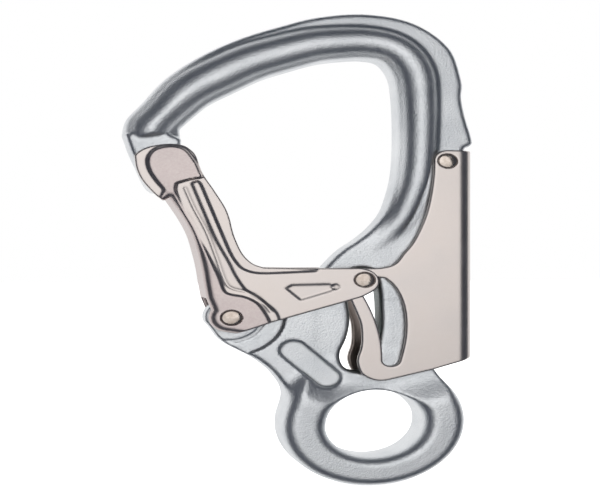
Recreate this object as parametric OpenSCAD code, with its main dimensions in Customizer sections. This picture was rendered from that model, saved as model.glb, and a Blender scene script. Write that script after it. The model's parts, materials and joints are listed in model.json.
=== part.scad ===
// Double-action snap hook with a forged eye: body, gate, locking lever, pins and springs.
// X runs to the right across the hook, Y through its thickness, Z up from the eye to the crown.
// The origin is the centre of the eye. The gate is closed and the lever is locked.

/* [Eye] */
// Diameter of the eye hole
eye_bore = 19.6; // [16:0.2:24]
// Width of the ring around the eye hole
ring_w = 8.7; // [7:0.1:10.5]

/* [Forged body] */
// Thickness of the hook bead and of the eye ring
bead_t = 12; // [11.5:0.1:15]
// Thickness of the flat plate that the lever and the gate straddle
web_t = 6; // [5:0.1:7.2]
// Thickness left in the round recess beside the gate pivot
recess_t = 4.4; // [3.6:0.1:4.4]
// Radius of that recess
recess_r = 10.8; // [9:0.1:12]
// Height of the gate pivot above the eye centre
pivot_rise = 31.1; // [31:0.1:38]
// Height of the crown above the parting line of the nose
crown_h = 37.2; // [30:0.1:46]
// Width of the bead at the nose
bead_w_nose = 12.4; // [10:0.1:12.6]
// Width of the bead where it runs out above the gate arm
bead_w_throat = 5.6; // [4:0.1:6]

/* [Sheet metal] */
// Thickness of the pressed stainless sheet of the gate and the lever
sheet_t = 1.2; // [0.9:0.05:1.5]
// Height of the pillow pressed out of the top of the gate
pillow_h = 0.5; // [0.3:0.1:1]
// Gap on each side between the plate and the lever, and between the lever and the gate
side_gap = 0.2; // [0.15:0.05:0.3]

/* [Pins] */
// Diameter of the gate and lever pivot pins
pivot_d = 4; // [3:0.1:4.8]
// Diameter of the lock pin where it passes through the lever
lock_d = 3; // [2.4:0.1:3.6]
// Diameter of the lock pin's heads in the gate
lock_head_d = 4; // [3.7:0.1:4.8]
// Gap around a pivot pin in the bore that it turns in
pin_gap = 0.05; // [0.02:0.01:0.1]
// Gap between the lock pin and the walls of the lever slot
slot_gap = 0.3; // [0.25:0.05:0.5]
// How far the slot's right-hand edge bulges away from the pin's path
slot_bulge = 3.3; // [1:0.1:3.6]

/* [Springs] */
// Wire of both torsion springs
wire_d = 0.7; // [0.5:0.05:0.7]
// Whole turns in each coil of the gate spring
gate_turns = 2; // [1:1:2]
// Whole turns of the lever spring
lever_turns = 3; // [2:1:3]

/* [Motion] */
// Gate opening, in degrees
gate_open = 45; // [30:1:45]
// Lever turn for each degree of gate turn
lever_ratio = 0.14; // [0.13:0.005:0.15]

/* [Hidden] */
$fn = 64;
CURVE_STEPS = 5;
CUT = 40;                                // longer than any thickness that it cuts

lever_in = web_t / 2 + side_gap;         // half the gap inside the lever
lever_out = lever_in + sheet_t;
gate_in = lever_out + side_gap;          // half the gap inside the gate
gate_out = gate_in + sheet_t;
tongue_t = 2 * (gate_in - 2 * side_gap);
ring_r = eye_bore / 2 + ring_w;
ring_mid_r = eye_bore / 2 + ring_w / 2;

// Outlines and pivots stand above the height of the gate pivot, in XZ
nose_rise = 50;                          // parting line of the nose
gate_pivot = [-28.4, 0];
lever_pivot = [14.8, 44.1];
lock_arm = 27.8;                         // from the gate pivot to the lock pin
lock_angle = 21.5;

function crown(p) = [p[0], nose_rise + p[1] * crown_h / 100];   // heights in percent of the crown
function spline(a, b, c, d, t) = 0.5 * (2 * b + (c - a) * t + (2 * a - 5 * b + 4 * c - d) * t * t
                                        + (3 * b - a - 3 * c + d) * t * t * t);
// A smooth open curve through the points
function curve(p) = let(n = len(p) - 1) concat(
    [for (i = [0:n - 1], k = [0:CURVE_STEPS - 1])
        spline(p[max(i - 1, 0)], p[i], p[i + 1], p[min(i + 2, n)], k / CURVE_STEPS)],
    [p[n]]);
function polar(r, a) = r * [cos(a), sin(a)];
function arc(c, r, from, to, n = 12) = [for (i = [0:n]) c + polar(r, from + (to - from) * i / n)];
function unit(v) = v / norm(v);
function tangent(p, i) = unit(p[min(i + 1, len(p) - 1)] - p[max(i - 1, 0)]);
function left_of(p, i) = let(v = tangent(p, i)) [-v[1], v[0]];
// The same curve moved to its left by a width that runs from w0 to w1
function beside(p, w0, w1) = [for (i = [0:len(p) - 1])
    p[i] + left_of(p, i) * (w0 + (w1 - w0) * i / (len(p) - 1))];
function back(p) = [for (i = [len(p) - 1:-1:0]) p[i]];

// Hook: outside from the nose to the lobe above the lever, inside from the nose to the throat
hook_outside = curve(concat(
    [for (p = [[-48.3, 1], [-47.5, 12], [-44.7, 24], [-40.9, 41], [-36.7, 54], [-31.7, 66],
               [-25.7, 77], [-19, 86], [-10.9, 95.5], [-1.1, 100], [8.5, 94], [15.8, 75.5],
               [18.6, 49], [18.6, 35], [19.4, 20], [20.8, 2]]) crown(p)],
    [[20.5, 49], [19.2, 48.1]]));
hook_inside = curve(concat(
    [for (p = [[-37.7, 5], [-34.9, 15], [-31.7, 25], [-27.1, 34.5], [-21.7, 45], [-16.7, 52],
               [-10.9, 59], [-6, 62], [-1.7, 63.5], [1.9, 61], [4.1, 50], [4.8, 35], [5.1, 16]]) crown(p)],
    [[5.1, 47], [4.7, 40], [3.9, 35], [2.4, 29.4], [-0.1, 25], [-3.1, 21.5], [-5.9, 18.9],
     [-8, 16.3], [-9.9, 13.4]]));
bead_inside = [for (i = [0:len(hook_inside) - 1 - 2 * CURVE_STEPS]) hook_inside[i]];
tongue_left = curve([[-48.3, 50.4], [-47.3, 46], [-45.8, 41.2], [-44.3, 36.6], [-42.9, 34.5],
                     [-41.4, 34.2]]);
tongue_right = curve([[-40, 35.6], [-38.4, 41], [-37.6, 47], [-37.7, 51.5]]);

// Under the gate arm: from the throat, round the boss at the gate pivot, down to the eye
boss_r = 4;
boss_edge = concat(curve([[-9.9, 13.4], [-13.5, 9.4], [-19, 6.4], [-24, 4.4], [-27, 3.8]]),
                   arc(gate_pivot, boss_r, 95, 195),
                   curve([[-31.6, -3.4], [-30.2, -6], [-28.3, -8], [-23.5, -11.7], [-20.3, -15.3],
                          [-18.6, -19.3], [-17.9, -22.5]]));
// Right-hand edge, from the notch below the lobe down to the eye, inside the lever's channel
right_edge = curve([[19.2, 48.1], [18, 44], [17.6, 39], [16.6, 29], [15.1, 14], [13.4, -1],
                    [12.1, -12], [12.2, -14.5], [13, -16.5], [13.9, -19]]);

aperture = curve([[-5.6, 10.5], [-5.1, 5], [-4.6, -0.2], [-4.7, -3.2], [-5.4, -6.9],
                  [-6.5, -10.3], [-6.5, -12.8], [-5.5, -14.9], [-3.2, -16], [-1, -15.6],
                  [1.1, -12.7], [2.7, -7.4], [3.3, -3.1], [3.1, 1.2], [2.2, 7.5], [0.9, 11.5],
                  [-1.4, 13.2], [-4, 12.8], [-5.6, 10.5]]);

// Round-ended pressing in the plate
dimple_ends = [[-15.9, -9.5], [-9.3, -17.5]];
dimple_w = 5.2;
dimple_depth = 0.5;

// Lever: flat cheek from the top, down its left side and round the finger
lever_back = 20.5;
lever_top = 47.3;
lever_foot = -12.8;
lever_left = concat([[lever_back, lever_top], [14.9, lever_top]], arc([15, 44.3], 3, 95, 180, 6),
    curve([[11.9, 40.1], [11.5, 35.7], [10.7, 30.3], [9.5, 25.6], [7.7, 20.7], [5.8, 17.5],
           [4, 14.6], [1.2, 13.5], [-2.5, 13.3], [-5.4, 12], [-6.2, 9.6]]));
lever_edge = concat(lever_left,
    curve([[-5.6, 6.6], [-4.7, 3.9], [-3.6, 0.4], [-2.9, -2.5], [-2.7, -6.3], [-2.9, -9.2],
           [-3.5, -11.8], [-3.5, -13.8], [-2.7, -16.4], [-1.1, -17.9], [0.5, -18.6],
           [2.3, -18.6]]),
    [[11.7, -15.9], [17.5, -13.8], [lever_back, lever_foot]]);
lever_reach = norm([0.5, -18.6] - lever_pivot);  // to the tip of the finger

// Where the lever's left side gets to, at rest above its pivot and pressed in below it
function turned(p, a) = [p[0] * cos(a) - p[1] * sin(a), p[0] * sin(a) + p[1] * cos(a)];
edge_gap = 0.4;
lever_swing = beside([for (p = lever_left) lever_pivot
    + turned(p - lever_pivot, p[1] < lever_pivot[1] ? -gate_open * lever_ratio : 0)],
    -edge_gap, -edge_gap);

// Centre of the lock pin for a gate angle, seen from the lever that turns along
function lock_at(a) = gate_pivot + polar(lock_arm, lock_angle - a);
function lock_in_lever(a) = lever_pivot + turned(lock_at(a) - lever_pivot, a * lever_ratio);
SLOT_STEPS = 15;
slot_r = lock_d / 2 + slot_gap;
slot_path = [for (i = [0:SLOT_STEPS]) lock_in_lever(gate_open * i / SLOT_STEPS)];
slot_right = [for (i = [0:SLOT_STEPS]) slot_path[i] + left_of(slot_path, i)
    * (slot_r + slot_bulge * sin(180 * sqrt(i / SLOT_STEPS)))];

// Gate: cheek from the cap down its inner side, round the arm and the pivot, and up the spine
gate_boss_r = 5;
gate_spine = curve([[-32.9, 5.2], [-33.4, 9], [-33.9, 13.4], [-34.7, 18.1], [-35.7, 22.7],
                    [-37.4, 27.3], [-39.9, 32.6]]);
gate_edge = concat(
    curve([[-47.7, 44.8], [-47, 47.2], [-44.7, 49], [-41.7, 49.7], [-38.8, 48.9], [-37, 46.4],
           [-34.7, 40.8], [-32.3, 33.5], [-29.7, 26], [-28.3, 21.5], [-27.3, 18], [-25.2, 15],
           [-22.5, 13.7]]),
    [[-15.3, 13.5]],
    curve([[-3.3, 13.5], [-1.2, 12.7], [0.2, 10.8], [0.3, 8.6], [-0.8, 7], [-3, 5.4]]),
    curve([[-5.5, 4.4], [-18.7, -0.7], [-24.5, -3.2], [-27, -4.4]]),
    arc(gate_pivot, gate_boss_r, 265, 140), gate_spine,
    curve([[-42.8, 34.8], [-44.8, 37.4], [-46.6, 40.8], [-47.7, 44.8]]));
pillow = concat(curve([[-38.6, 39.2], [-40.2, 38], [-42, 36.4], [-43.9, 38.8], [-45, 42],
                       [-45.5, 45.4], [-44.7, 47.4], [-42.8, 48.4], [-40.6, 48.5], [-38.8, 47.4],
                       [-37.5, 45]]), [[-35.4, 40.2]]);

// Torsion springs wind clockwise from a leg on the body to a leg on the moving part
gate_coil_r = pivot_d / 2 + wire_d / 2 + 0.25;
gate_coil_y = [recess_t / 2 + wire_d / 2 + 0.03, gate_in - wire_d / 2 - 0.03];
gate_leg = 8.5;
gate_bridge = 9;
// The bridge leg leans so that it passes the foot of the gate's spine with this gap
leg_gap = 0.07;
spine_foot = gate_spine[0] + [sheet_t, 0] - gate_pivot;
gate_leg_lean = atan2(spine_foot[1], spine_foot[0])
    - asin((gate_coil_r + wire_d / 2 + leg_gap) / norm(spine_foot));
lever_coil_r = pivot_d / 2 + wire_d / 2 + 0.1;
lever_pocket_y = -0.2;
lever_pocket_r = lever_coil_r + wire_d / 2 + 0.2;
lever_pocket_h = 8;
lever_coil_y = [lever_pocket_y + wire_d / 2 + 0.03, lever_in - wire_d / 2 - 0.03];
lever_legs = [6.5, 9.5];
COIL_STEP = 20;

function at(p, y) = [p[0], y, p[1] + pivot_rise];
// Coil about c from angle a down to angle b, while y runs from y[0] to y[1]
function coil(c, r, a, b, y) = let(n = ceil((a - b) / COIL_STEP))
    [for (i = [0:n]) at(c + polar(r, a + (b - a) * i / n), y[0] + (y[1] - y[0]) * i / n)];
// Half of the gate spring: leg on the body, coil, and half the bridge that pushes the gate
function gate_spring_half() = let(
    start = 285 + 360 * gate_turns, end = gate_leg_lean + 90, up = polar(1, gate_leg_lean),
    foot = gate_pivot + polar(gate_coil_r, start), top = gate_pivot + polar(gate_coil_r, end),
    y1 = gate_coil_y[1], bend = 0.8)
    concat([at(foot + polar(gate_leg, start + 90), gate_coil_y[0])],
           coil(gate_pivot, gate_coil_r, start, end, gate_coil_y),
           [at(top + up * (gate_bridge - bend), y1), at(top + up * (gate_bridge - bend / 4), y1 - bend / 4),
            at(top + up * gate_bridge, y1 - bend), at(top + up * gate_bridge, 0.4)]);
function mirrored(p) = [for (i = [len(p) - 1:-1:0]) [p[i][0], -p[i][1], p[i][2]]];
gate_spring_path = concat(gate_spring_half(), mirrored(gate_spring_half()));
lever_spring_path = let(start = 180 + 360 * lever_turns, end = 8) concat(
    [at(lever_pivot + polar(lever_coil_r, start) + polar(lever_legs[0], start + 90), lever_coil_y[0])],
    coil(lever_pivot, lever_coil_r, start, end, lever_coil_y),
    [at(lever_pivot + polar(lever_coil_r, end) + polar(lever_legs[1], end - 90), lever_coil_y[1])]);

// The outline stands in XZ; the block is centred on Y = 0
module slab(points, t) {
    translate([0, t / 2, pivot_rise])
        rotate([90, 0, 0])
            linear_extrude(t)
                polygon(points);
}

// Two matching blocks between the half widths a and b
module both_sides(points, a, b) {
    for (s = [-1, 1])
        translate([0, s * (a + b) / 2, 0])
            slab(points, b - a);
}

// A cylinder along Y, centred on y
module pin_y(c, d, t, y = 0) {
    translate([c[0], y + t / 2, c[1] + pivot_rise])
        rotate([90, 0, 0])
            cylinder(d = d, h = t);
}

module both_pins(c, d, a, b) {
    for (s = [-1, 1])
        pin_y(c, d, b - a, s * (a + b) / 2);
}

// Round wire swept along a path; the section turns as little as the path lets it
function carried(p, i, n) = i >= len(p) ? [] :
    let(t = tangent(p, i), m = unit(n - t * (n * t))) concat([m], carried(p, i + 1, m));
module wire(path, d, sides = 8) {
    across = carried(path, 0, [0.3, 1, 0.2]);
    points = [for (i = [0:len(path) - 1], k = [0:sides - 1])
        path[i] + (across[i] * cos(360 * k / sides)
                   + cross(tangent(path, i), across[i]) * sin(360 * k / sides)) * d / 2];
    last = (len(path) - 1) * sides;
    polyhedron(points, concat(
        [[for (k = [0:sides - 1]) k]],
        [[for (k = [sides - 1:-1:0]) last + k]],
        [for (i = [0:len(path) - 2], k = [0:sides - 1])
            [i * sides + k, (i + 1) * sides + k, (i + 1) * sides + (k + 1) % sides,
             i * sides + (k + 1) % sides]]));
}

module ring() {
    rotate([90, 0, 0])
        rotate_extrude()
            translate([ring_mid_r, 0]) {
                for (s = [-1, 1])
                    translate([0, s * (bead_t - ring_w) / 2])
                        circle(d = ring_w);
                square([ring_w, bead_t - ring_w], center = true);
            }
}

module plate() {
    difference() {
        slab(concat(tongue_left, tongue_right, hook_inside, boss_edge, [[0, -pivot_rise]],
                    back(right_edge), back(hook_outside)), web_t);
        pin_y([0, -pivot_rise], 2 * ring_mid_r, CUT);
    }
}

module tongue() {
    slab(concat(tongue_left, tongue_right, [[-42, nose_rise + 2]]), tongue_t);
}

// Thick rounded bead along the inside of the hook, built in three steps, cut back beside the lever
module bead() {
    difference() {
        union() {
            for (step = [[0.2, 0.62], [1, 0.86], [2.2, 1]])
                slab(concat(beside(bead_inside, step[0], step[0]),
                            back(beside(bead_inside, bead_w_nose - step[0], bead_w_throat - step[0]))),
                     bead_t * step[1]);
            slab(concat([[-48.2, 50.5], [-37.7, 51.6]], [bead_inside[0], bead_inside[4]],
                        [beside(bead_inside, bead_w_nose - 0.5, bead_w_nose - 0.5)[0]]), bead_t * 0.86);
        }
        both_sides(concat(lever_swing, [[lever_back, lever_left[len(lever_left) - 1][1] - edge_gap]]),
                   web_t / 2, CUT / 2);
    }
}

// Sweep of the lever's foot over the top of the ring
module lever_sweep() {
    intersection() {
        both_pins(lever_pivot, 2 * (lever_reach + 0.9), web_t / 2, CUT / 2);
        translate([-12, -CUT, 5])
            cube([CUT, 2 * CUT, pivot_rise]);
    }
}

module dimple() {
    for (s = [-1, 1], p = dimple_ends)
        pin_y(p, dimple_w, dimple_depth * 2, s * web_t / 2);
    side = left_of(dimple_ends, 0) * dimple_w / 2;
    both_sides([dimple_ends[0] + side, dimple_ends[1] + side, dimple_ends[1] - side,
                dimple_ends[0] - side], web_t / 2 - dimple_depth, web_t / 2 + dimple_depth);
}

// Milled pocket for the lever spring, open to the right-hand edge
module lever_pocket() {
    c = lever_pivot;
    depth = CUT / 2 - lever_pocket_y;
    pin_y(c, 2 * lever_pocket_r, depth, lever_pocket_y + depth / 2);
    translate([0, lever_pocket_y + depth / 2, 0])
        slab([c - [lever_pocket_r, 0], c - [lever_pocket_r, lever_pocket_h],
              c + [CUT, -lever_pocket_h], c + [CUT, 0]], depth);
}

module hook_body() {
    color("lightsteelblue")
        difference() {
            union() {
                difference() {
                    union() {
                        plate();
                        ring();
                    }
                    lever_sweep();
                    both_pins(gate_pivot, 2 * recess_r, recess_t / 2, CUT / 2);
                    dimple();
                }
                bead();
                tongue();
            }
            slab(aperture, CUT);
            lever_pocket();
            pin_y(gate_pivot, pivot_d + 2 * pin_gap, CUT);
            pin_y(lever_pivot, pivot_d + 2 * pin_gap, CUT);
        }
}

module gate() {
    color("silver")
        difference() {
            union() {
                both_sides(gate_edge, gate_in, gate_out);
                both_sides(pillow, gate_out - pillow_h, gate_out + pillow_h);
                slab(concat(gate_spine, back(beside(gate_spine, -sheet_t, -sheet_t))), 2 * gate_out);
            }
            pin_y(gate_pivot, pivot_d, CUT);
            both_pins(lock_at(0), lock_head_d, gate_in, CUT / 2);
        }
}

module lever() {
    color("gainsboro")
        difference() {
            union() {
                both_sides(lever_edge, lever_in, lever_out);
                slab([[lever_back, lever_top], [lever_back - sheet_t, lever_top],
                      [lever_back - sheet_t, lever_foot - 0.4], [lever_back, lever_foot]], 2 * lever_out);
            }
            pin_y(lever_pivot, pivot_d, CUT);
            slab(concat(beside(slot_path, -slot_r, -slot_r), back(slot_right)), CUT);
            pin_y(slot_path[0], 2 * slot_r, CUT);
            pin_y(slot_path[SLOT_STEPS], 2 * slot_r, CUT);
        }
}

module gate_pivot_pin() {
    color("tan")
        pin_y(gate_pivot, pivot_d, 2 * gate_out);
}

module lever_pivot_pin() {
    color("tan")
        pin_y(lever_pivot, pivot_d, 2 * lever_out);
}

module lock_pin() {
    color("tan") {
        pin_y(lock_at(0), lock_d, 2 * gate_out);
        both_pins(lock_at(0), lock_head_d, gate_in, gate_out);
    }
}

module gate_spring() {
    color("dimgray")
        wire(gate_spring_path, wire_d);
}

module lever_spring() {
    color("dimgray")
        wire(lever_spring_path, wire_d);
}

hook_body();
gate();
lever();
gate_pivot_pin();
lever_pivot_pin();
lock_pin();
gate_spring();
lever_spring();
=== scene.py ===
import bpy
import bmesh
import json
import math
import numpy as np
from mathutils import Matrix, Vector


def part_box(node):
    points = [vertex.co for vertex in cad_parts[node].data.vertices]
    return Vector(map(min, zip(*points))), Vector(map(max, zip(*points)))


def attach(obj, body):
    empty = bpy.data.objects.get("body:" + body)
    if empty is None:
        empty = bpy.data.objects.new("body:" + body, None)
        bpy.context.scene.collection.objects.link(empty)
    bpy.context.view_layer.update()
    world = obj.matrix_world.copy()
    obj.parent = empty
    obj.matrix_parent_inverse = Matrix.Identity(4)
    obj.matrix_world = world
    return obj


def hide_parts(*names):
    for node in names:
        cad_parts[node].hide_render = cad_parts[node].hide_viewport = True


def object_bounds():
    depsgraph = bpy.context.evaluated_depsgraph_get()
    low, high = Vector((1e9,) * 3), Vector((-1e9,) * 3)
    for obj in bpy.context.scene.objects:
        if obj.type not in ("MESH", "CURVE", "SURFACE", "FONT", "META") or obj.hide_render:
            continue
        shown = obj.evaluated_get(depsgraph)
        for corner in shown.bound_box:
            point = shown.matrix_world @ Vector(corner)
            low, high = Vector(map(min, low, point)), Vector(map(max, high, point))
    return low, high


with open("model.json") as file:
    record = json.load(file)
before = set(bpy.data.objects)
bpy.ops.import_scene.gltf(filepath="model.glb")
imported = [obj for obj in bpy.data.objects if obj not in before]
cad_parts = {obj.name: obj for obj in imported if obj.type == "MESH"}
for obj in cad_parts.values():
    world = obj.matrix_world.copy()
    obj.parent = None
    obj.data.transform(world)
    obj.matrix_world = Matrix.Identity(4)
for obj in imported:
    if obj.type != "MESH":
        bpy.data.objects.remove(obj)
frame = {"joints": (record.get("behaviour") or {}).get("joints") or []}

cadBox = [list(corner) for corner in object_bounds()]
mm = 0.001

joints = {j["name"]: j for j in frame["joints"]}


def pivotOf(name):  # where a joint's axis crosses the XZ plane, in mm
    x, _, z = joints[name]["pos_m"]
    return np.array([x, z]) / mm


def middleOf(node):
    low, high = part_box(node)
    return np.array([low[0] + high[0], low[2] + high[2]]) / 2 / mm


gatePivot, leverPivot, lockPlace = pivotOf("gate_pivot"), pivotOf("lever_pivot"), middleOf("lock_pin")
pivotRise = gatePivot[1]
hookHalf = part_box("hook_body")[1][1] / mm
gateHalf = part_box("gate_pivot_pin")[1][1] / mm
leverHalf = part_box("lever_pivot_pin")[1][1] / mm
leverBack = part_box("lever")[1][0] / mm


# Outlines are smooth curves through points in mm, in XZ, above the gate pivot's height
def curve(points, steps=8):
    p = np.array(points, float)
    last = len(p) - 1
    t = np.linspace(0, 1, steps, endpoint=False)[:, None]
    out = []
    for i in range(last):
        a, b, c, d = p[max(i - 1, 0)], p[i], p[i + 1], p[min(i + 2, last)]
        out.append(0.5 * (2 * b + (c - a) * t + (2 * a - 5 * b + 4 * c - d) * t ** 2
                          + (3 * b - a - 3 * c + d) * t ** 3))
    out.append(p[last:])
    return np.concatenate(out)


def raised(points):
    return np.array(points, float) + (0, pivotRise)


def arc(centre, radius, start, end, steps=16):
    a = np.radians(np.linspace(start, end, steps + 1))
    return np.stack([centre[0] + radius * np.cos(a), centre[1] + radius * np.sin(a)], 1)


def beside(points, widthStart, widthEnd):  # the curve moved to its left
    t = np.gradient(points, axis=0)
    t /= np.linalg.norm(t, axis=1)[:, None]
    w = np.linspace(widthStart, widthEnd, len(points))[:, None]
    return points + np.stack([-t[:, 1], t[:, 0]], 1) * w


def turned(points, centre, degrees):
    a = math.radians(degrees)
    p = np.array(points, float) - centre
    return np.stack([p[:, 0] * math.cos(a) - p[:, 1] * math.sin(a),
                     p[:, 0] * math.sin(a) + p[:, 1] * math.cos(a)], 1) + centre


def joinUp(*stretches):
    return np.concatenate([np.array(s, float).reshape(-1, 2) for s in stretches])


# Solids are signed distances on a grid, in mm, negative inside the metal
def makeGrid(node, step, spare=0.8):
    low, high = [np.array(c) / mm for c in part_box(node)]
    x, y, z = [np.arange(a - spare, b + spare + step, step, dtype=np.float32)
               for a, b in zip(low, high)]
    return {"low": low - spare, "step": step, "x": x[:, None, None], "y": y[None, :, None],
            "z": z[None, None, :], "side": np.abs(y)[None, :, None]}


def toCurve(grid, points):  # distance to an open curve, and how far along it from 0 to 1
    x, z = np.broadcast_arrays(grid["x"], grid["z"])
    best, along = np.full(x.shape, 1e9, np.float32), np.zeros(x.shape, np.float32)
    count = len(points) - 1
    for i in range(count):
        a, ab = points[i], points[i + 1] - points[i]
        t = np.clip(((x - a[0]) * ab[0] + (z - a[1]) * ab[1]) / max(ab @ ab, 1e-9), 0, 1)
        d = np.hypot(x - a[0] - t * ab[0], z - a[1] - t * ab[1])
        closer = d < best
        best = np.where(closer, d, best)
        along = np.where(closer, (i + t) / count, along)
    return best, along


def toOutline(grid, points):  # signed distance to a closed outline
    closed = np.concatenate([points, points[:1]])
    distance, _ = toCurve(grid, closed)
    x, z = np.broadcast_arrays(grid["x"], grid["z"])
    inside = np.zeros(x.shape, bool)
    for (ax, az), (bx, bz) in zip(closed[:-1], closed[1:]):
        if az != bz:
            crosses = (az > z) != (bz > z)
            inside ^= crosses & (x < (bx - ax) * (z - az) / (bz - az) + ax)
    return np.where(inside, -distance, distance)


def toPoint(grid, centre):
    return np.hypot(grid["x"] - centre[0], grid["z"] - centre[1])


def both(a, b, edge):  # where both are metal, with a rounded edge
    a, b = a + edge, b + edge
    return np.minimum(np.maximum(a, b), 0) + np.hypot(np.maximum(a, 0), np.maximum(b, 0)) - edge


def blend(a, b, reach):  # either is metal, with a fillet; a negative reach keeps what both share
    h = np.clip(0.5 + 0.5 * (b - a) / reach, 0, 1)
    return b * (1 - h) + a * h - reach * h * (1 - h)


def cut(a, b, reach):  # a without b, with a softened edge
    return -blend(-a, b, reach)


def fade(low, high, value):  # 0 below low, 1 above high
    t = np.clip((value - low) / (high - low), 0, 1)
    return t * t * (3 - 2 * t)


corners = [(i, j, k) for i in (0, 1) for j in (0, 1) for k in (0, 1)]


def sample(values, at):  # reads the grid between its points
    base = np.clip(np.floor(at).astype(int), 0, np.array(values.shape[:3]) - 2)
    part = at - base
    total = 0
    for c in corners:
        weight = np.prod([part[:, n] if c[n] else 1 - part[:, n] for n in range(3)], axis=0)
        picked = values[base[:, 0] + c[0], base[:, 1] + c[1], base[:, 2] + c[2]]
        total = total + (picked.T * weight).T
    return total


def skinOf(field):  # points and quads of the surface where the field is zero
    inside = field < 0
    shape = np.array(field.shape) - 1
    total = np.zeros((*shape, 3), np.float32)
    hits = np.zeros(shape, np.float32)

    def corner(values, c):
        return values[c[0]:c[0] + shape[0], c[1]:c[1] + shape[1], c[2]:c[2] + shape[2]]

    for a in corners:
        for axis in range(3):
            if a[axis]:
                continue
            b = tuple(1 if n == axis else a[n] for n in range(3))
            fa, fb = corner(field, a), corner(field, b)
            crossed = corner(inside, a) != corner(inside, b)
            t = np.where(crossed, fa / np.where(crossed, fa - fb, 1), 0)
            for n in range(3):
                total[..., n] += np.where(crossed, a[n] + (t if n == axis else 0), 0)
            hits += crossed
    active = hits > 0
    number = np.full(shape, -1)
    number[active] = np.arange(active.sum())
    points = np.argwhere(active) + total[active] / hits[active][:, None]
    quads = []
    for axis in range(3):
        u, v = (axis + 1) % 3, (axis + 2) % 3
        ahead = np.moveaxis(inside, axis, 0)
        where = np.argwhere(np.moveaxis(ahead[1:] != ahead[:-1], 0, axis))
        ring = []
        for du, dv in ((0, 0), (1, 0), (1, 1), (0, 1)):
            cell = where.copy()
            cell[:, u] -= du
            cell[:, v] -= dv
            ring.append(number[tuple(cell.T)])
        ring = np.stack(ring, 1)
        outwards = inside[tuple(where.T)]
        quads.append(np.where(outwards[:, None], ring, ring[:, ::-1]))
    return points, np.concatenate(quads)


def skinPiece(name, grid, field, marks=()):
    field = field.astype(np.float32)
    points, quads = skinOf(field)
    slope = np.stack(np.gradient(field), -1)
    for _ in range(2):  # pulls each point on to the true surface
        value, g = sample(field, points), sample(slope, points)
        points -= np.clip(g * (value / np.maximum((g * g).sum(1), 1e-6))[:, None], -0.3, 0.3)
    normals = sample(slope, points)
    normals /= np.linalg.norm(normals, axis=1)[:, None]
    bend = sum(np.gradient(slope[..., n], axis=n) for n in range(3)) / grid["step"] ** 2
    mesh = bpy.data.meshes.new(name)
    mesh.from_pydata(((grid["low"] + points * grid["step"]) * mm).tolist(), [], quads.tolist())
    mesh.polygons.foreach_set("use_smooth", [True] * len(mesh.polygons))
    for mark, values in (("bend", bend), *marks):
        mesh.attributes.new(mark, "FLOAT", "POINT")
        flat = sample(np.broadcast_to(values, field.shape), points)
        mesh.attributes[mark].data.foreach_set("value", flat.astype(np.float32))
    mesh.update(calc_edges=True)
    mesh.validate()
    mesh.normals_split_custom_set_from_vertices(normals.tolist())
    piece = bpy.data.objects.new(name, mesh)
    bpy.context.collection.objects.link(piece)
    print(name, "made with", len(mesh.vertices), "points")
    return piece


# Lever outline first, because the forged bead is cut back beside it
lever = {
    "step": 0.28, "sheet": 1.2, "fold": 3.4, "edge": 0.32, "bore": 2.02,
    "playAngle": -6.3, "edgeGap": 0.4,
    "side": [(11.9, 40.1), (11.5, 35.7), (10.7, 30.3), (9.5, 25.6), (7.7, 20.7), (5.8, 17.5),
             (4, 14.6), (1.2, 13.5), (-2.5, 13.3), (-5.4, 12), (-6.2, 9.6)],
    "finger": [(-5.6, 6.6), (-4.7, 3.9), (-3.6, 0.4), (-2.9, -2.5), (-2.7, -6.3), (-2.9, -9.2),
               (-3.5, -11.8), (-3.5, -13.8), (-2.7, -16.4), (-1.1, -17.9), (0.5, -18.6), (2.3, -18.6)],
    "foot": [(11.7, -15.9), (17.5, -13.8), (25.5, -11)],
    "top": 47.3, "slotSteps": 15, "slotHalf": 1.8, "slotBulge": 3.3, "slotEdge": 0.45, "lockArm": 27.8,
    "lockAngle": 21.5, "gateOpen": 45, "ratio": 0.14,
}
leverLeft = joinUp([(26, lever["top"]), (14.9, lever["top"])], arc((15, 44.3), 3, 95, 180, 8),
                   curve(lever["side"]))

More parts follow.
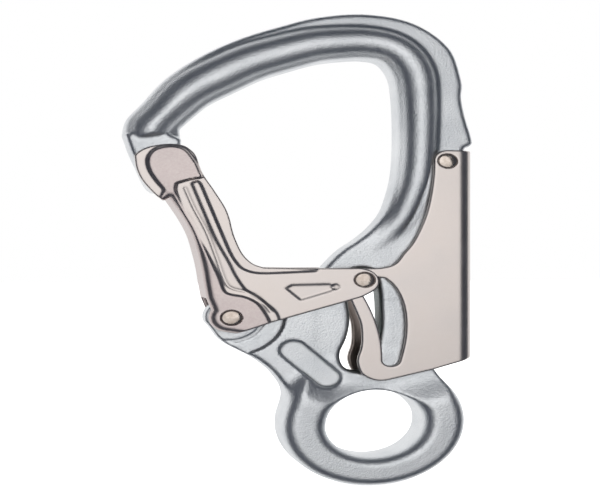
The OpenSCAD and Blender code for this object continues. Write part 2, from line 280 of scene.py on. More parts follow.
# Drop-forged hook: a flat web, a round bead inside the hook, and the eye
body = {
    "step": 0.42, "inset": 0.02, "halfWeb": 3.0, "webEdge": 1.4, "halfTongue": 4.2, "tongueEdge": 1.1,
    "bossRadius": 4.6, "plateFrom": 12.5,
    "ringMiddle": 14.15, "ringHalf": 4.3, "ringEdge": 2.9, "ringFillet": 4.5,
    "beadNose": 12.4, "beadThroat": 5.4, "beadRound": 0.93, "beadFade": (0.7, 0.99), "fillet": 1.0,
    "noseTrim": -2, "partingRise": 48.7, "partingSlope": 0.2, "partingReach": -30,
    "partingEdge": 0.7, "webSpare": 0.1,
    "footRoom": 3.2, "footFade": (0.2, 11), "crownRoom": 6, "crownFade": (4, 9),
    "halfRecess": 2.2, "recessRadius": 10.8, "groove": 6.8, "grooveHalf": 0.35, "grooveDeep": 0.3,
    "dimpleHalf": 2.6, "dimpleDeep": 0.5, "dimpleEdge": 0.8, "openingEdge": 1.3,
    "pocketRadius": 3.05, "pocketLeft": 3, "pocketDown": 8, "pocketFrom": -0.2, "bore": 2.15,
    "outside": [(-48.3, 50.4), (-47.5, 54.5), (-44.7, 58.9), (-40.9, 65.2), (-36.7, 70.1),
                (-31.7, 74.5), (-25.7, 78.6), (-19, 82), (-10.9, 85.5), (-1.1, 87.1), (8.5, 85),
                (15.8, 78.1), (18.5, 68.3), (18.5, 63), (19.3, 57.4), (20.7, 50.8), (20.4, 49),
                (19.2, 48.2)],
    "inside": [(-37.7, 51.9), (-34.9, 55.6), (-31.7, 59.3), (-27.1, 62.8), (-21.7, 66.7),
               (-16.7, 69.3), (-10.9, 71.9), (-6, 73.1), (-1.7, 73.6), (1.9, 72.7), (4.1, 68.6),
               (4.8, 63), (5.1, 56), (5.1, 47), (4.7, 40), (3.9, 35), (2.4, 29.4), (-0.1, 25),
               (-3.1, 21.5), (-5.9, 18.9), (-8, 16.3), (-9.9, 13.4)],
    "tongueLeft": [(-48.3, 50.4), (-47.3, 46), (-45.8, 41.2), (-44.3, 36.6), (-42.9, 34.5),
                   (-41.4, 34.2)],
    "tongueRight": [(-40, 35.6), (-38.4, 41), (-37.6, 47), (-37.7, 51.5)], "tongueTop": (-42, 52),
    "underGate": [(-9.9, 13.4), (-13.5, 9.4), (-19, 6.6), (-24, 5), (-27, 4.6)],
    "belowGate": [(-31.6, -3.4), (-30.2, -6), (-28.3, -8), (-23.5, -11.7), (-20.3, -15.3),
                  (-18.2, -19), (-16.4, -21.9), (-14, -24.8), (-10, -28)],
    "rightEdge": [(19.2, 48.1), (18, 44), (17.6, 39), (16.6, 29), (15.1, 14), (13.4, -1),
                  (12.1, -12), (11.8, -14.5), (11.6, -17), (10.8, -20), (8, -24)],
    "opening": [(-5.6, 10.5), (-5.1, 5), (-4.6, -0.2), (-4.7, -3.2), (-5.4, -6.9), (-6.5, -10.3),
                (-6.5, -12.8), (-5.5, -14.9), (-3.2, -16), (-1.4, -15.6), (0.1, -12.7), (1, -7.4),
                (1.5, -3.1), (1.5, 1.2), (1.2, 7.5), (0.4, 11.5), (-1.4, 13.2), (-4, 12.8),
                (-5.6, 10.5)],
    "dimple": [(-15.9, -9.5), (-9.3, -17.5)],
    "footSweep": [(-10.2, -11), (-9.7, -14.4), (-8.2, -16.3), (-6.5, -17.3), (-4.4, -17.6), (2.3, -19.2),
                  (25.5, -11.3), (30, 9), (-10.2, 9)],
}


def besideLever(g):  # distance outside the lever's left edge, over its whole travel
    pressedIn = turned(raised(leverLeft), leverPivot, lever["playAngle"])
    edge = np.where((leverLeft[:, 1:] + pivotRise) < leverPivot[1], pressedIn, raised(leverLeft))
    swing = beside(edge, -lever["edgeGap"], -lever["edgeGap"])
    return toOutline(g, joinUp(swing, [(30, swing[-1][1])]))


def roundBead(g, inside, shadow):
    b = body
    lead = inside[0] + (inside[0] - inside[1]) * 8  # it runs on past the parting line
    middle = beside(np.concatenate([[lead], inside[:-12]]), b["beadNose"] / 2, b["beadThroat"] / 2)
    distance, along = toCurve(g, middle)
    width = b["beadNose"] + (b["beadThroat"] - b["beadNose"]) * along
    half = hookHalf - b["inset"] - (hookHalf - b["halfWeb"] + 1) * fade(*b["beadFade"], along)
    flat = blend(distance - width / 2, shadow, b["noseTrim"])
    bead = both(flat, g["side"] - half, np.minimum(width / 2, half) * b["beadRound"])
    rise = g["z"] - pivotRise - b["partingRise"] - (g["x"] - b["outside"][0][0]) * b["partingSlope"]
    below = rise / math.hypot(1, b["partingSlope"])
    return cut(bead, np.maximum(below, g["x"] - b["partingReach"]), b["partingEdge"])


def withEye(g, metal, eye):
    b = body
    ring = both(np.abs(eye - b["ringMiddle"]) - b["ringHalf"], g["side"] - hookHalf + b["inset"],
                b["ringEdge"])
    metal = blend(metal, ring, b["ringFillet"])
    sweep = toOutline(g, raised(b["footSweep"]))  # the eye is thinned where the lever's foot passes
    slack = b["footRoom"] * fade(*b["footFade"], sweep)
    slack = slack + b["crownRoom"] * fade(*b["crownFade"], g["z"] - pivotRise)
    return cut(metal, (b["halfWeb"] + b["webSpare"] + slack - g["side"]) * 0.9, 0.5)


def withRecess(g, metal):  # round the gate pivot, with a groove for the spring, and the long dimple
    b = body
    nearGate = toPoint(g, gatePivot)
    metal = cut(metal, np.maximum(nearGate - b["recessRadius"], b["halfRecess"] - g["side"]), 0.5)
    groove = np.abs(nearGate - b["groove"]) - b["grooveHalf"]
    metal = cut(metal, np.maximum(groove, b["halfRecess"] - b["grooveDeep"] - g["side"]), 0.3)
    dimple, _ = toCurve(g, raised(b["dimple"]))
    dimple = np.maximum(dimple - b["dimpleHalf"], b["halfWeb"] - b["dimpleDeep"] - g["side"])
    return cut(metal, dimple, b["dimpleEdge"])


def withBores(g, metal):  # milled pocket for the lever spring, then the two bores
    b = body
    nearLever = toPoint(g, leverPivot)
    down = leverPivot[1] - g["z"]
    channel = np.maximum(leverPivot[0] - b["pocketLeft"] - g["x"], down - b["pocketDown"])
    pocket = np.minimum(nearLever - b["pocketRadius"], np.maximum(channel, -down))
    metal = cut(metal, np.maximum(pocket, b["pocketFrom"] - g["y"]), 0.15)
    return cut(metal, np.minimum(toPoint(g, gatePivot), nearLever) - b["bore"], 0.1)


def makeBody():
    b = body
    g = makeGrid("hook_body", b["step"])
    eye = toPoint(g, (0, 0))
    inside = raised(curve(b["inside"]))
    tongueLeft, tongueRight = raised(curve(b["tongueLeft"])), raised(curve(b["tongueRight"]))
    outline = joinUp(tongueLeft, tongueRight, inside, raised(curve(b["underGate"])),
                     arc(gatePivot, b["bossRadius"], 95, 195), raised(curve(b["belowGate"])),
                     [(0, 0)], raised(curve(b["rightEdge"]))[::-1], raised(curve(b["outside"]))[::-1])
    shadow = toOutline(g, outline)
    metal = both(np.maximum(shadow, b["plateFrom"] - eye), g["side"] - b["halfWeb"], b["webEdge"])

    clear = besideLever(g)
    bead = roundBead(g, inside, shadow)
    bead = cut(bead, np.maximum(clear, b["halfWeb"] - g["side"]), 0.5)
    metal = blend(metal, bead, b["fillet"])
    foot = np.maximum(clear - 0.2, b["halfWeb"] + 0.12 - g["side"])  # of the bead's fillet
    metal = cut(metal, foot, 0.1)
    tongue = toOutline(g, joinUp(tongueLeft, tongueRight[:-5], raised([b["tongueTop"]])))
    metal = blend(metal, both(tongue, g["side"] - b["halfTongue"], b["tongueEdge"]), 0.4)

    metal = withRecess(g, withEye(g, metal, eye))
    opening = toOutline(g, raised(curve(b["opening"]))[:-1])
    metal = withBores(g, cut(metal, opening, b["openingEdge"]))
    # painted shade: the walls of the opening through the web are darkened in the zinc's colour
    wallShade = fade(0.9, 0.3, np.abs(opening)) * (g["side"] < b["halfWeb"] - 0.3)
    return skinPiece("forgedHook", g, metal, [("wallShade", wallShade)])


forgedHook = makeBody()
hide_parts("hook_body")
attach(forgedHook, "hook")


# Gate: one sheet folded round the back of the body's tongue, with its front pressed in relief
gate = {
    "step": 0.26, "sheet": 1.2, "fold": 1.7, "edge": 0.32, "bore": 2.02,
    "wallFoot": 5.2, "wallHalf": 3.4, "wallEnd": -40.1, "cheekInside": 4.55, "footRadius": 4.1,
    "spine": [(-39.9, 32.6), (-37.4, 27.3), (-35.7, 22.7), (-34.7, 18.1), (-33.9, 13.4),
              (-33.4, 9), (-32.9, 5.2)],
    "cap": [(-46.6, 44.3), (-45.5, 45.6), (-43.7, 46.7), (-41.6, 47.3), (-39.5, 47.5),
            (-37.5, 47.1), (-36.2, 46.1), (-35, 44.2), (-33.8, 39.6), (-31.6, 34.9), (-29.5, 30.2),
            (-28.6, 27), (-28.2, 24.6), (-27.6, 21.8), (-26.2, 17.6), (-24.3, 14.9), (-22, 13.7)],
    "armEnd": [(-3.3, 13.5), (-1.2, 12.7), (0.2, 10.8), (0.3, 8.6), (-0.8, 7), (-3, 5.4)],
    "armFoot": [(-5.5, 4.4), (-18.7, -0.7), (-24.5, -3.2), (-27, -4.4)],
    "capBack": [(-42.5, 33.2), (-43.9, 35.2), (-45.4, 37.9), (-46.3, 41), (-46.6, 44.3)],
    "pillow": [(-38.8, 36.6), (-39, 34.6), (-38.8, 32), (-40.1, 33.4), (-41.3, 35.2), (-42.6, 37.4),
               (-43.8, 40.1), (-44.2, 42.9), (-43.5, 45), (-42.2, 46.2), (-39.8, 46.8), (-37.6, 46.2),
               (-36.4, 44.8), (-35, 42)],
    "pillowCorner": [(-33.9, 38.3), (-36.6, 37.6)], "pillowRise": 0.42, "crown": 0.16,
    "pillowFoot": (31, 38.5), "lancedTurn": (-40, -37), "lancedSlope": (0.96, 0.27),
    "backEdge": [(-46.5, 54), (-45.4, 46), (-43.8, 41), (-41.2, 34.4), (-39.9, 31.4), (-60, 25),
                 (-60, 54)],
    "recessLeft": [(-38, 37.3), (-38.8, 36.9), (-39.1, 35.4), (-38.4, 32.6), (-37, 28.4), (-35.6, 25.1),
                   (-34.2, 20.9), (-32.5, 16.2), (-30.9, 11.5), (-29.8, 7.5), (-28.6, 6.4),
                   (-25.8, 5.6), (-23.4, 3.8), (-21.7, 0.5), (-21, -1.7)],
    "recessRight": [(-35.9, 36.6), (-33.6, 28.8), (-31.3, 21.3), (-28.9, 15.2), (-27.6, 11.5),
                    (-25.7, 7.7), (-23.4, 5.4), (-20.3, 2.2), (-19.3, -0.2)],
    "crease": [(-37.1, 35.4), (-35.5, 30.2), (-33.1, 23.7), (-31.3, 17.1), (-29.5, 10), (-28.1, 8),
               (-25, 6.9), (-22.8, 5), (-20.8, 1.5)],
    "ribRight": [(-35.4, 37), (-34.4, 36.8), (-32.8, 31.7), (-30.7, 24.6), (-28.7, 18), (-27.5, 15.2),
                 (-26.1, 13.3), (-23.3, 12.2), (-18, 12.3), (-12, 12.7)],
    "low": 0.42, "slope": 0.8, "creaseDeep": 0.16, "pocketDeep": 0.3, "pocketEyeDeep": 0.25,
    "pocket": [(-18.4, 8), (-17, 9.2), (-9.4, 9.4), (-8, 8.2), (-8.9, 6.9), (-15.2, 4.3)],
    "pocketEye": (-8.3, 8.3),
}


def gateRelief(g):  # how far the pressed front stands out, and where drawing has frosted it
    b = gate
    recessLeft, recessRight = raised(curve(b["recessLeft"])), raised(curve(b["recessRight"]))
    tail = toOutline(g, joinUp(recessLeft, raised([(-22, -9), (-40, -9), (-42, 10), (-43, 28),
                                                   (-41.1, 34.9), (-40, 38)])))
    arm = toOutline(g, joinUp(recessRight, raised([(-19, -9), (10, -9), (10, 20), (-12, 15)]),
                              raised(curve(b["ribRight"]))[::-1]))
    soft = b["slope"] / 2
    height = -b["low"] * fade(-soft, soft, np.minimum(tail, arm))

    pillow = toOutline(g, joinUp(raised(curve(b["pillow"])), raised(b["pillowCorner"])))
    endX, endZ = b["pillowCorner"][1]
    up, across = b["lancedSlope"]
    lanced = (g["z"] - pivotRise - endZ) * up - (g["x"] - endX) * across < 1.2
    sharp = fade(*b["lancedTurn"], g["x"]) * lanced  # its lower edge is cut through, so it is sharp
    wide = 0.08 * sharp + soft * (1 - sharp)
    rise = b["pillowRise"] - b["crown"] + b["crown"] * fade(0, 5, -pillow)
    rise = rise * fade(*b["pillowFoot"], g["z"] - pivotRise)  # it runs out into the tail
    height = height + (rise - height) * (1 - fade(-wide, wide, pillow))

    crease, _ = toCurve(g, raised(curve(b["crease"])))
    height = height - b["creaseDeep"] * (1 - fade(0.1, 0.5, crease))
    pocket = toOutline(g, raised(b["pocket"]))
    height = height - b["pocketDeep"] * (1 - fade(-0.75, 0.1, pocket))
    pocketEye = toPoint(g, b["pocketEye"] + np.array((0, pivotRise)))
    height = height - b["pocketEyeDeep"] * (1 - fade(0.5, 1.0, pocketEye))
    return height, np.maximum(1 - fade(-0.4, 0.6, pillow), 1 - fade(-0.2, 0.4, tail))


def makeGate():
    b = gate
    g = makeGrid("gate", b["step"])
    path = joinUp(raised([(-60, 29), (-46, 29.5), (-41.9, 31)]), raised(curve(b["spine"])),
                  arc(gatePivot, b["footRadius"], 150, 265), raised([(-22, -5.8), (-10, -8)]))
    folded = toOutline(g, joinUp(path, raised([(60, -30), (60, 70), (-60, 70)])))
    leftOfSpine = raised([(-28, -9), (-40, -9), (-42, 10), (-44, 25), (-41, 31.6)])
    trim = toOutline(g, joinUp(raised(curve(b["cap"])), raised([(-15.3, 13.5)]),
                               raised(curve(b["armEnd"])), raised(curve(b["armFoot"])),
                               leftOfSpine, raised(curve(b["capBack"]))[:-1]))
    height, frost = gateRelief(g)
    outer = both(folded, g["side"] - gateHalf - height, b["fold"])
    inner = both(folded, g["side"] - gateHalf, b["fold"]) + b["sheet"]
    metal = both(np.maximum(outer, -inner), trim, b["edge"])
    foot = np.maximum(g["side"] - b["wallHalf"], g["z"] - pivotRise - b["wallFoot"])
    beyond = np.maximum(g["side"] - b["cheekInside"], g["x"] - b["wallEnd"])
    metal = cut(metal, np.minimum(foot, beyond), 0.1)  # the joining wall stops at both ends
    behind = toOutline(g, raised(b["backEdge"]))  # the far side's edge hides behind the tongue
    metal = cut(metal, np.maximum(behind, -g["y"]), 0.2)
    rivets = np.minimum(toPoint(g, gatePivot), toPoint(g, lockPlace))
    metal = cut(metal, rivets - b["bore"], 0.1)
    return skinPiece("gateSheet", g, metal, [("frost", frost)])


gateSheet = makeGate()
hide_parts("gate")
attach(gateSheet, "gate")


def lockAt(angle):  # the lock pin's centre, seen from the lever that turns along
    a = math.radians(lever["lockAngle"] - angle)
    pin = gatePivot + lever["lockArm"] * np.array((math.cos(a), math.sin(a)))
    return turned([pin], leverPivot, angle * lever["ratio"])[0]


def leverSlot(g):
    b = lever
    share = np.linspace(0, 1, b["slotSteps"] + 1)
    path = np.array([lockAt(b["gateOpen"] * s) for s in share])
    t = np.gradient(path, axis=0)
    t /= np.linalg.norm(t, axis=1)[:, None]
    out = np.stack([-t[:, 1], t[:, 0]], 1)
    bulge = b["slotHalf"] + b["slotBulge"] * np.sin(np.pi * np.sqrt(share))
    slot = toOutline(g, joinUp(path - out * b["slotHalf"], (path + out * bulge[:, None])[::-1]))
    return np.minimum(slot, np.minimum(toPoint(g, path[0]), toPoint(g, path[-1])) - b["slotHalf"])


def makeLever():
    b = lever
    g = makeGrid("lever", b["step"])
    trim = toOutline(g, joinUp(raised(leverLeft), raised(curve(b["finger"])), raised(b["foot"])))
    outer = both(g["x"] - leverBack, g["side"] - leverHalf, b["fold"])
    metal = both(np.maximum(outer, -(outer + b["sheet"])), trim, b["edge"])
    metal = cut(metal, leverSlot(g), b["slotEdge"])
    metal = cut(metal, toPoint(g, leverPivot) - b["bore"], 0.1)
    wallShade = fade(0.5, 0.2, np.abs(outer + b["sheet"]))  # the channel's inside, darkened as painted shade
    return skinPiece("leverSheet", g, metal, [("wallShade", wallShade)])


leverSheet = makeLever()
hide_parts("lever")
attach(leverSheet, "lever")


def addNode(tree, kind, links=(), **settings):  # links feed sockets, by name or number
    node = tree.nodes.new(kind)
    for key, value in settings.items():
        if hasattr(node, key):
            setattr(node, key, value)
        else:
            node.inputs[key.replace("_", " ")].default_value = value
    for socket, source in dict(links).items():
        tree.links.new(source, node.inputs[socket])
    return node


def hexColour(code):  # sRGB hex to linear
    parts = [int(code[i:i + 2], 16) / 255 for i in (0, 2, 4)]
    return [c / 12.92 if c <= 0.04045 else ((c + 0.055) / 1.055) ** 2.4 for c in parts] + [1]


def perMetre(size):  # a pattern's scale from its real size in mm
    return 1000 / size


def startMaterial(name, base, rough, metal=1.0):
    material = bpy.data.materials.new(name)
    material.use_nodes = True
    tree = material.node_tree
    shader = tree.nodes["Principled BSDF"]
    shader.inputs["Base Color"].default_value = hexColour(base)
    shader.inputs["Roughness"].default_value = rough
    shader.inputs["Metallic"].default_value = metal
    place = addNode(tree, "ShaderNodeTexCoord").outputs["Object"]
    return material, tree, shader, place


def noise(tree, place, size, detail=2.0, rough=0.5):
    return addNode(tree, "ShaderNodeTexNoise", {"Vector": place}, Scale=perMetre(size),
                   Detail=detail, Roughness=rough).outputs["Fac"]


def ramp(tree, value, low, high, fromLow=0.3, fromHigh=0.7):
    return addNode(tree, "ShaderNodeMapRange", {"Value": value}, From_Min=fromLow,
                   From_Max=fromHigh, To_Min=low, To_Max=high).outputs["Result"]


def mixColours(tree, factor, a, b):
    node = addNode(tree, "ShaderNodeMix", data_type="RGBA")
    for number, value in ((0, factor), (6, a), (7, b)):
        if isinstance(value, (str, float, int)):
            node.inputs[number].default_value = hexColour(value) if isinstance(value, str) else value
        else:
            tree.links.new(value, node.inputs[number])
    return node.outputs[2]


def maths(tree, operation, a, b):
    node = addNode(tree, "ShaderNodeMath", operation=operation)
    for number, value in ((0, a), (1, b)):
        if isinstance(value, (float, int)):
            node.inputs[number].default_value = value
        else:
            tree.links.new(value, node.inputs[number])
    return node.outputs[0]


def bumps(tree, shader, layers):  # layers of (height, depth in mm), coarse to fine
    normal = None
    for height, depth in layers:
        node = addNode(tree, "ShaderNodeBump", {"Height": height}, Distance=depth * mm)
        if normal:
            tree.links.new(normal, node.inputs["Normal"])
        normal = node.outputs["Normal"]
    tree.links.new(normal, shader.inputs["Normal"])


def mark(tree, name):
    return addNode(tree, "ShaderNodeAttribute", attribute_name=name).outputs["Fac"]


# Zinc on drop-forged, tumbled steel: satin, with a fine orange-peel grain and duller inner corners;
# painted shade darkens the inner corners and the walls of the opening through the web
def forgedZinc():
    material, tree, shader, place = startMaterial("zincOnForgedSteel", "cbcccc", 0.36)
    peel = noise(tree, place, 0.5, 3.0, 0.65)
    grain = noise(tree, place, 0.3, 2.0)
    clouds = noise(tree, place, 9, 3.0)
    dullShadedCorners = ramp(tree, mark(tree, "bend"), 1, 0, -1.6, -0.35)  # dull zinc in inner corners, also darkened there as painted shade
    tone = mixColours(tree, ramp(tree, clouds, 0, 1), "d6d9dc", "e8eaec")
    # painted shade in the inner corners
    tone = mixColours(tree, maths(tree, "MULTIPLY", dullShadedCorners, 0.25), tone, "6d7674")
    # painted shade on the walls of the opening through the web
    tone = mixColours(tree, maths(tree, "MULTIPLY", mark(tree, "wallShade"), 0.85), tone, "4d5a58")
    tree.links.new(tone, shader.inputs["Base Color"])
    dull = maths(tree, "MULTIPLY", dullShadedCorners, 0.15)
    tree.links.new(maths(tree, "ADD", ramp(tree, peel, 0.31, 0.44), dull), shader.inputs["Roughness"])
    bumps(tree, shader, [(peel, 0.08), (grain, 0.03)])
    return material


# Vibratory-polished stainless sheet: smooth and warm, frosted where it was drawn most, with painted
# shade inside the lever's channel
def pressedStainless():
    material, tree, shader, place = startMaterial("tumbledStainlessSheet", "c8c1be", 0.3)
    haze = noise(tree, place, 7, 3.0)
    grain = noise(tree, place, 0.22, 2.0)
    pits = noise(tree, place, 0.5, 3.0, 0.7)
    frost = mark(tree, "frost")
    tone = mixColours(tree, ramp(tree, haze, 0, 1), "d2c9c4", "d9d1cd")
    tone = mixColours(tree, maths(tree, "MULTIPLY", frost, ramp(tree, pits, 0.35, 0.9)), tone, "c3b5b4")
    # painted shade inside the lever's channel
    tone = mixColours(tree, maths(tree, "MULTIPLY", mark(tree, "wallShade"), 0.7), tone, "6d5f57")
    tree.links.new(tone, shader.inputs["Base Color"])
    rough = maths(tree, "ADD", ramp(tree, haze, 0.28, 0.34), maths(tree, "MULTIPLY", frost, 0.03))
    tree.links.new(rough, shader.inputs["Roughness"])
    bumps(tree, shader, [(haze, 0.012), (pits, 0.008), (grain, 0.005)])
    return material


# Peened rivet steel: the brightest metal here, with shallow hammer dents
def peenedRivet():
    material, tree, shader, place = startMaterial("peenedRivetSteel", "cbbfb5", 0.14)
    dents = noise(tree, place, 1.3, 2.0)
    fine = noise(tree, place, 0.25, 2.0)
    tree.links.new(ramp(tree, fine, 0.11, 0.2), shader.inputs["Roughness"])
    tree.links.new(mixColours(tree, ramp(tree, dents, 0, 1), "b7aaa0", "d6cbc2"),
                   shader.inputs["Base Color"])
    bumps(tree, shader, [(dents, 0.03), (fine, 0.004)])
    return material


# Drawn spring wire: grey, slightly oily, streaked along the draw
def springWire():
    material, tree, shader, place = startMaterial("drawnSpringWire", "8f9092", 0.3)
    streaks = noise(tree, place, 0.3, 3.0)
    tree.links.new(mixColours(tree, ramp(tree, streaks, 0, 1), "77787a", "a3a4a6"),
                   shader.inputs["Base Color"])
    tree.links.new(ramp(tree, streaks, 0.22, 0.38), shader.inputs["Roughness"])
    bumps(tree, shader, [(streaks, 0.008)])
    return material


finishes = {"forged_zinc": forgedZinc(), "pressed_stainless": pressedStainless(),
            "rivet_steel": peenedRivet(), "spring_steel": springWire()}
forgedHook.data.materials.append(finishes["forged_zinc"])
for sheet in (gateSheet, leverSheet):
    sheet.data.materials.append(finishes["pressed_stainless"])
print("finishes mixed:", ", ".join(m.name for m in finishes.values()))


def makeTree(name, inputs):
    tree = bpy.data.node_groups.new(name, "GeometryNodeTree")
    tree.interface.new_socket(name="Geometry", in_out="OUTPUT", socket_type="NodeSocketGeometry")
    tree.interface.new_socket(name="Geometry", in_out="INPUT", socket_type="NodeSocketGeometry")
    keys = {label: tree.interface.new_socket(name=label, in_out="INPUT", socket_type=kind).identifier
            for label, kind in inputs.items()}
    return tree, keys, addNode(tree, "NodeGroupInput").outputs


def endTree(tree, geometry, material):
    smooth = addNode(tree, "GeometryNodeSetShadeSmooth", {"Geometry": geometry})
    real = addNode(tree, "GeometryNodeRealizeInstances", {"Geometry": smooth.outputs[0]})
    painted = addNode(tree, "GeometryNodeSetMaterial",
                      {"Geometry": real.outputs[0], "Material": material})
    addNode(tree, "NodeGroupOutput", {"Geometry": painted.outputs[0]})


def grown(source, tree, keys, values, name):  # runs the tree and keeps a plain mesh
    bpy.context.collection.objects.link(source)
    modifier = source.modifiers.new("shape", "NODES")
    modifier.node_group = tree
    for label, value in values.items():
        modifier[keys[label]] = value
    ready = source.evaluated_get(bpy.context.evaluated_depsgraph_get())
    mesh = bpy.data.meshes.new_from_object(ready)
    mesh.name = name
    source.modifiers.remove(modifier)
    bpy.data.objects.remove(source)
    piece = bpy.data.objects.new(name, mesh)
    bpy.context.collection.objects.link(piece)
    print(name, "made with", len(mesh.vertices), "points")
    return piece


# Rivets: a shank with a low peened head at each end, sunk in a fine ring in the sheet
rivet = {"shank": 1.96, "lockShank": 1.5, "sunk": 0.5, "steps": 48, "seed": 4,
         "profile": [(0, 0.78), (0.3, 0.77), (0.7, 0.735), (1.1, 0.68), (1.45, 0.62), (1.72, 0.56),
                     (1.88, 0.51), (1.97, 0.42), (1.99, 0.25), (1.99, -0.7), (0, -0.7)]}


def rivetHead():  # turned about Z
    shape = bmesh.new()
    line = [shape.verts.new((r * mm, 0, h * mm)) for r, h in rivet["profile"]]
    for a, b in zip(line, line[1:]):
        shape.edges.new((a, b))
    bmesh.ops.spin(shape, geom=shape.verts[:] + shape.edges[:], axis=(0, 0, 1), cent=(0, 0, 0),
                   angle=math.tau, steps=rivet["steps"], use_merge=True)
    bmesh.ops.remove_doubles(shape, verts=shape.verts, dist=1e-7)
    bmesh.ops.recalc_face_normals(shape, faces=shape.faces)
    mesh = bpy.data.meshes.new("rivetHead")
    shape.to_mesh(mesh)
    shape.free()
    return bpy.data.objects.new("rivetHead", mesh)


def rivetTree():
    tree, keys, given = makeTree("rivets", {"Head": "NodeSocketObject", "Seed": "NodeSocketInt",
                                            "Steel": "NodeSocketMaterial"})
    head = addNode(tree, "GeometryNodeObjectInfo", {"Object": given["Head"]})
    outward = addNode(tree, "GeometryNodeInputNamedAttribute", data_type="FLOAT_VECTOR", Name="outward")
    thick = addNode(tree, "GeometryNodeInputNamedAttribute", data_type="FLOAT", Name="thick")
    aim = addNode(tree, "FunctionNodeAlignRotationToVector", {"Vector": outward.outputs[0]}, axis="Z")
    heads = addNode(tree, "GeometryNodeInstanceOnPoints",
                    {"Points": given["Geometry"], "Instance": head.outputs["Geometry"],
                     "Rotation": aim.outputs[0]})
    roll = addNode(tree, "FunctionNodeRandomValue", {"Seed": given["Seed"]}, data_type="FLOAT_VECTOR",
                   Min=(0, 0, 0), Max=(0, 0, math.tau))
    rolled = addNode(tree, "GeometryNodeRotateInstances",
                     {"Instances": heads.outputs[0], "Rotation": roll.outputs[0]})
    line = addNode(tree, "GeometryNodeMeshToCurve", {"Mesh": given["Geometry"]})
    sized = addNode(tree, "GeometryNodeSetCurveRadius",
                    {"Curve": line.outputs[0], "Radius": thick.outputs[0]})
    circle = addNode(tree, "GeometryNodeCurvePrimitiveCircle", Resolution=rivet["steps"], Radius=1.0)
    links = {"Curve": sized.outputs[0], "Profile Curve": circle.outputs[0]}
    shank = addNode(tree, "GeometryNodeCurveToMesh", links)
    shank.inputs["Fill Caps"].default_value = True
    if "Scale" in shank.inputs:
        tree.links.new(thick.outputs[0], shank.inputs["Scale"])
    joined = addNode(tree, "GeometryNodeJoinGeometry")
    for part in (rolled, shank):
        tree.links.new(part.outputs[0], joined.inputs[0])
    endTree(tree, joined.outputs[0], given["Steel"])
    return tree, keys


def makeRivets(name, rivets):  # each rivet: centre, distance to the sheet's face, shank radius
    points, edges, outward, thick = [], [], [], []
    for (x, z), half, radius in rivets:
        edges.append((len(points), len(points) + 1))
        for side in (-1, 1):
            points.append((x * mm, side * (half - rivet["sunk"]) * mm, z * mm))
            outward += [0, side, 0]
            thick.append(radius * mm)
    mesh = bpy.data.meshes.new("rivetLines")
    mesh.from_pydata(points, edges, [])
    mesh.attributes.new("outward", "FLOAT_VECTOR", "POINT").data.foreach_set("vector", outward)
    mesh.attributes.new("thick", "FLOAT", "POINT").data.foreach_set("value", thick)
    source = bpy.data.objects.new("rivetLines", mesh)
    values = {"Head": head, "Seed": rivet["seed"], "Steel": finishes["rivet_steel"]}
    return grown(source, *rivetTree(), values, name)


head = rivetHead()
bpy.context.collection.objects.link(head)
gateRivets = makeRivets("gateRivets", [(gatePivot, gateHalf, rivet["shank"]),
                                       (lockPlace, gateHalf, rivet["lockShank"])])
leverRivet = makeRivets("leverRivet", [(leverPivot, leverHalf, rivet["shank"])])
bpy.data.objects.remove(head)
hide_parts("gate_pivot_pin", "lock_pin")
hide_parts("lever_pivot_pin")
for piece, bodyName in ((gateRivets, "gate"), (leverRivet, "lever")):
    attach(piece, bodyName)


# Torsion springs: a leg on the body, the coil, and a leg on the part that moves
spring = {"wire": 0.7, "sides": 16, "coilStep": 10,
          "gateCoil": 2.6, "gateY": (2.58, 4.22), "gateTurns": 2, "gateStart": 285, "gateEnd": 183.05,
          "gateLeg": 8.5, "bridge": 9, "bend": 0.8, "bridgeY": 0.4,
          "leverCoil": 2.45, "leverY": (0.18, 2.82), "leverTurns": 3, "leverStart": 180, "leverEnd": 8,
          "leverLegs": (6.5, 9.5)}


def polar(radius, degrees):
    a = math.radians(degrees)
    return radius * np.array((math.cos(a), math.sin(a)))


def coil(centre, radius, start, end, y):
    count = math.ceil((start - end) / spring["coilStep"])
    return [(*(centre + polar(radius, start + (end - start) * i / count)),
             y[0] + (y[1] - y[0]) * i / count) for i in range(count + 1)]


def gateSpringPath():
    s = spring
    start, end = s["gateStart"] + 360 * s["gateTurns"], s["gateEnd"]
    up = polar(1, end - 90)
    foot, top = gatePivot + polar(s["gateCoil"], start), gatePivot + polar(s["gateCoil"], end)
    near, far = s["gateY"]
    bend = s["bend"]
    half = [(*(foot + polar(s["gateLeg"], start + 90)), near),
            *coil(gatePivot, s["gateCoil"], start, end, s["gateY"])]
    half += [(*(top + up * (s["bridge"] - bend * (1 - math.sin(t)))), far - bend * (1 - math.cos(t)))
             for t in np.linspace(0, math.pi / 2, 6)]
    half.append((*(top + up * s["bridge"]), s["bridgeY"]))
    return half + [(x, z, -y) for x, z, y in reversed(half)]


def leverSpringPath():
    s = spring
    start, end = s["leverStart"] + 360 * s["leverTurns"], s["leverEnd"]
    foot, top = leverPivot + polar(s["leverCoil"], start), leverPivot + polar(s["leverCoil"], end)
    return [(*(foot + polar(s["leverLegs"][0], start + 90)), s["leverY"][0]),
            *coil(leverPivot, s["leverCoil"], start, end, s["leverY"]),
            (*(top + polar(s["leverLegs"][1], end - 90)), s["leverY"][1])]


def wireTree():
    tree, keys, given = makeTree("wire", {"Wire": "NodeSocketFloat", "Sides": "NodeSocketInt",
                                          "Steel": "NodeSocketMaterial"})
    profile = addNode(tree, "GeometryNodeCurvePrimitiveCircle",
                      {"Resolution": given["Sides"], "Radius": given["Wire"]})
    swept = addNode(tree, "GeometryNodeCurveToMesh",
                    {"Curve": given["Geometry"], "Profile Curve": profile.outputs[0]})
    swept.inputs["Fill Caps"].default_value = True
    endTree(tree, swept.outputs[0], given["Steel"])
    return tree, keys


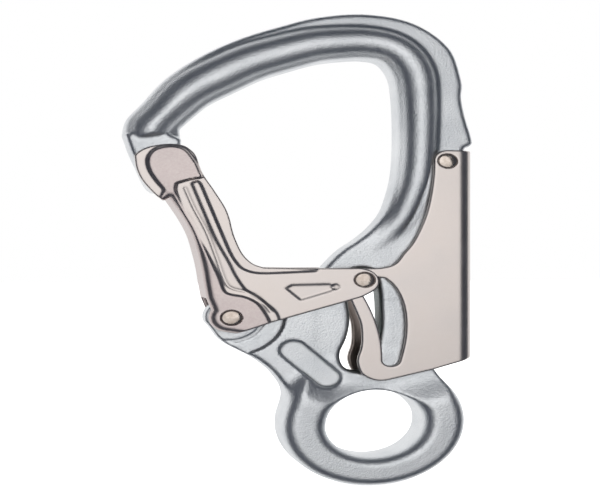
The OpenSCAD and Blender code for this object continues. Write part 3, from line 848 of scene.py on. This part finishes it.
def makeSpring(name, path, node):
    line = bpy.data.curves.new(name, "CURVE")
    line.dimensions = "3D"
    spline = line.splines.new("POLY")
    spline.points.add(len(path) - 1)
    for point, (x, z, y) in zip(spline.points, path):
        point.co = (x * mm, y * mm, z * mm, 1)
    values = {"Wire": spring["wire"] / 2 * mm, "Sides": spring["sides"],
              "Steel": finishes["spring_steel"]}
    piece = grown(bpy.data.objects.new(name, line), *wireTree(), values, name)
    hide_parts(node)
    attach(piece, "hook")


makeSpring("gateSpringWire", gateSpringPath(), "gate_spring")
makeSpring("leverSpringWire", leverSpringPath(), "lever_spring")

# Pale floor under the eye, and a ring of dark cloth that only reflections see
studio = {"floorHalf": 1.5, "floorDrop": 0.0002, "white": 1.0, "middle": 0.05,
          "clothRadius": 0.9, "clothAngles": (32, 98), "cloth": "858fa3", "clothGlow": 0.2}


def plainMesh(name, points, faces, material):
    mesh = bpy.data.meshes.new(name)
    mesh.from_pydata(points, [], faces)
    mesh.materials.append(material)
    thing = bpy.data.objects.new(name, mesh)
    bpy.context.collection.objects.link(thing)
    return thing


def glowing(name, colour, strength, base="e8e8e8"):
    material, tree, shader, _ = startMaterial(name, base, 0.9, metal=0)
    shader.inputs["Emission Color"].default_value = hexColour(colour)
    shader.inputs["Emission Strength"].default_value = strength
    return material


floorHeight = cadBox[0][2] - studio["floorDrop"]
half = studio["floorHalf"]
floor = plainMesh("floor", [(-half, -half, floorHeight), (half, -half, floorHeight),
                            (half, half, floorHeight), (-half, half, floorHeight)],
                  [(0, 1, 2, 3)], glowing("paleFloor", "ffffff", 0.8))
floor.visible_glossy = False


def darkCloth(name):  # a ring round the Y axis, between two angles from -Y
    radius, (nearest, farthest) = studio["clothRadius"], studio["clothAngles"]
    points, faces = [], []
    steps, rows = 48, 8
    for i in range(steps):
        around = math.tau * i / steps
        for j in range(rows):
            a = math.radians(nearest + (farthest - nearest) * j / (rows - 1))
            points.append((radius * math.sin(a) * math.cos(around), -radius * math.cos(a),
                           studio["middle"] + radius * math.sin(a) * math.sin(around)))
            if j:
                k, m = i * rows + j, (i + 1) % steps * rows + j
                faces.append((k - 1, k, m, m - 1))
    cloth = glowing(name + "Cloth", studio["cloth"], studio["clothGlow"], base="000000")
    ring = plainMesh(name, points, faces, cloth)
    ring.visible_camera = ring.visible_diffuse = ring.visible_shadow = False


darkCloth("darkFlags")

world = bpy.data.worlds.new("studio")
bpy.context.scene.world = world
world.use_nodes = True
world.node_tree.nodes["Background"].inputs["Color"].default_value = (1, 1, 1, 1)
world.node_tree.nodes["Background"].inputs["Strength"].default_value = studio["white"]


def softLight(name, place, size, watts):
    light = bpy.data.lights.new(name, "AREA")
    light.shape = "RECTANGLE"
    light.size, light.size_y = size
    light.energy = watts
    lamp = bpy.data.objects.new(name, light)
    lamp.location = place
    toMiddle = Vector((0, 0, studio["middle"])) - Vector(place)
    lamp.rotation_euler = toMiddle.to_track_quat("-Z", "Y").to_euler()
    bpy.context.collection.objects.link(lamp)


softLight("frontBox", (0.12, -0.75, 0.2), (0.55, 0.5), 0.28)

# The view is squeezed upright to about two thirds, which a plain lens can't do: an equirectangular
# view with its own width and height does. The camera is level, a little to the left of the front.
view = {"azimuth": 12.5, "aim": (-0.01402, 0, 0.04961), "distance": 0.2384, "halfHeight": 0.2956,
        "squeeze": 0.688, "widthToHeight": 600 / 500}
lens = bpy.data.cameras.new("camera")
lens.type = "PANO"
lens.panorama_type = "EQUIRECTANGULAR"
lens.latitude_min, lens.latitude_max = -view["halfHeight"], view["halfHeight"]
halfWidth = view["halfHeight"] * view["squeeze"] * view["widthToHeight"]
lens.longitude_min, lens.longitude_max = -halfWidth, halfWidth
camera = bpy.data.objects.new("camera", lens)
bpy.context.collection.objects.link(camera)
turn = math.radians(view["azimuth"])
camera.location = Vector(view["aim"]) - view["distance"] * Vector((math.sin(turn), math.cos(turn), 0))
camera.rotation_euler = (math.pi / 2, 0, -turn)
scene = bpy.context.scene
scene.camera = camera
scene.view_settings.view_transform = "Standard"
print("studio and camera placed")
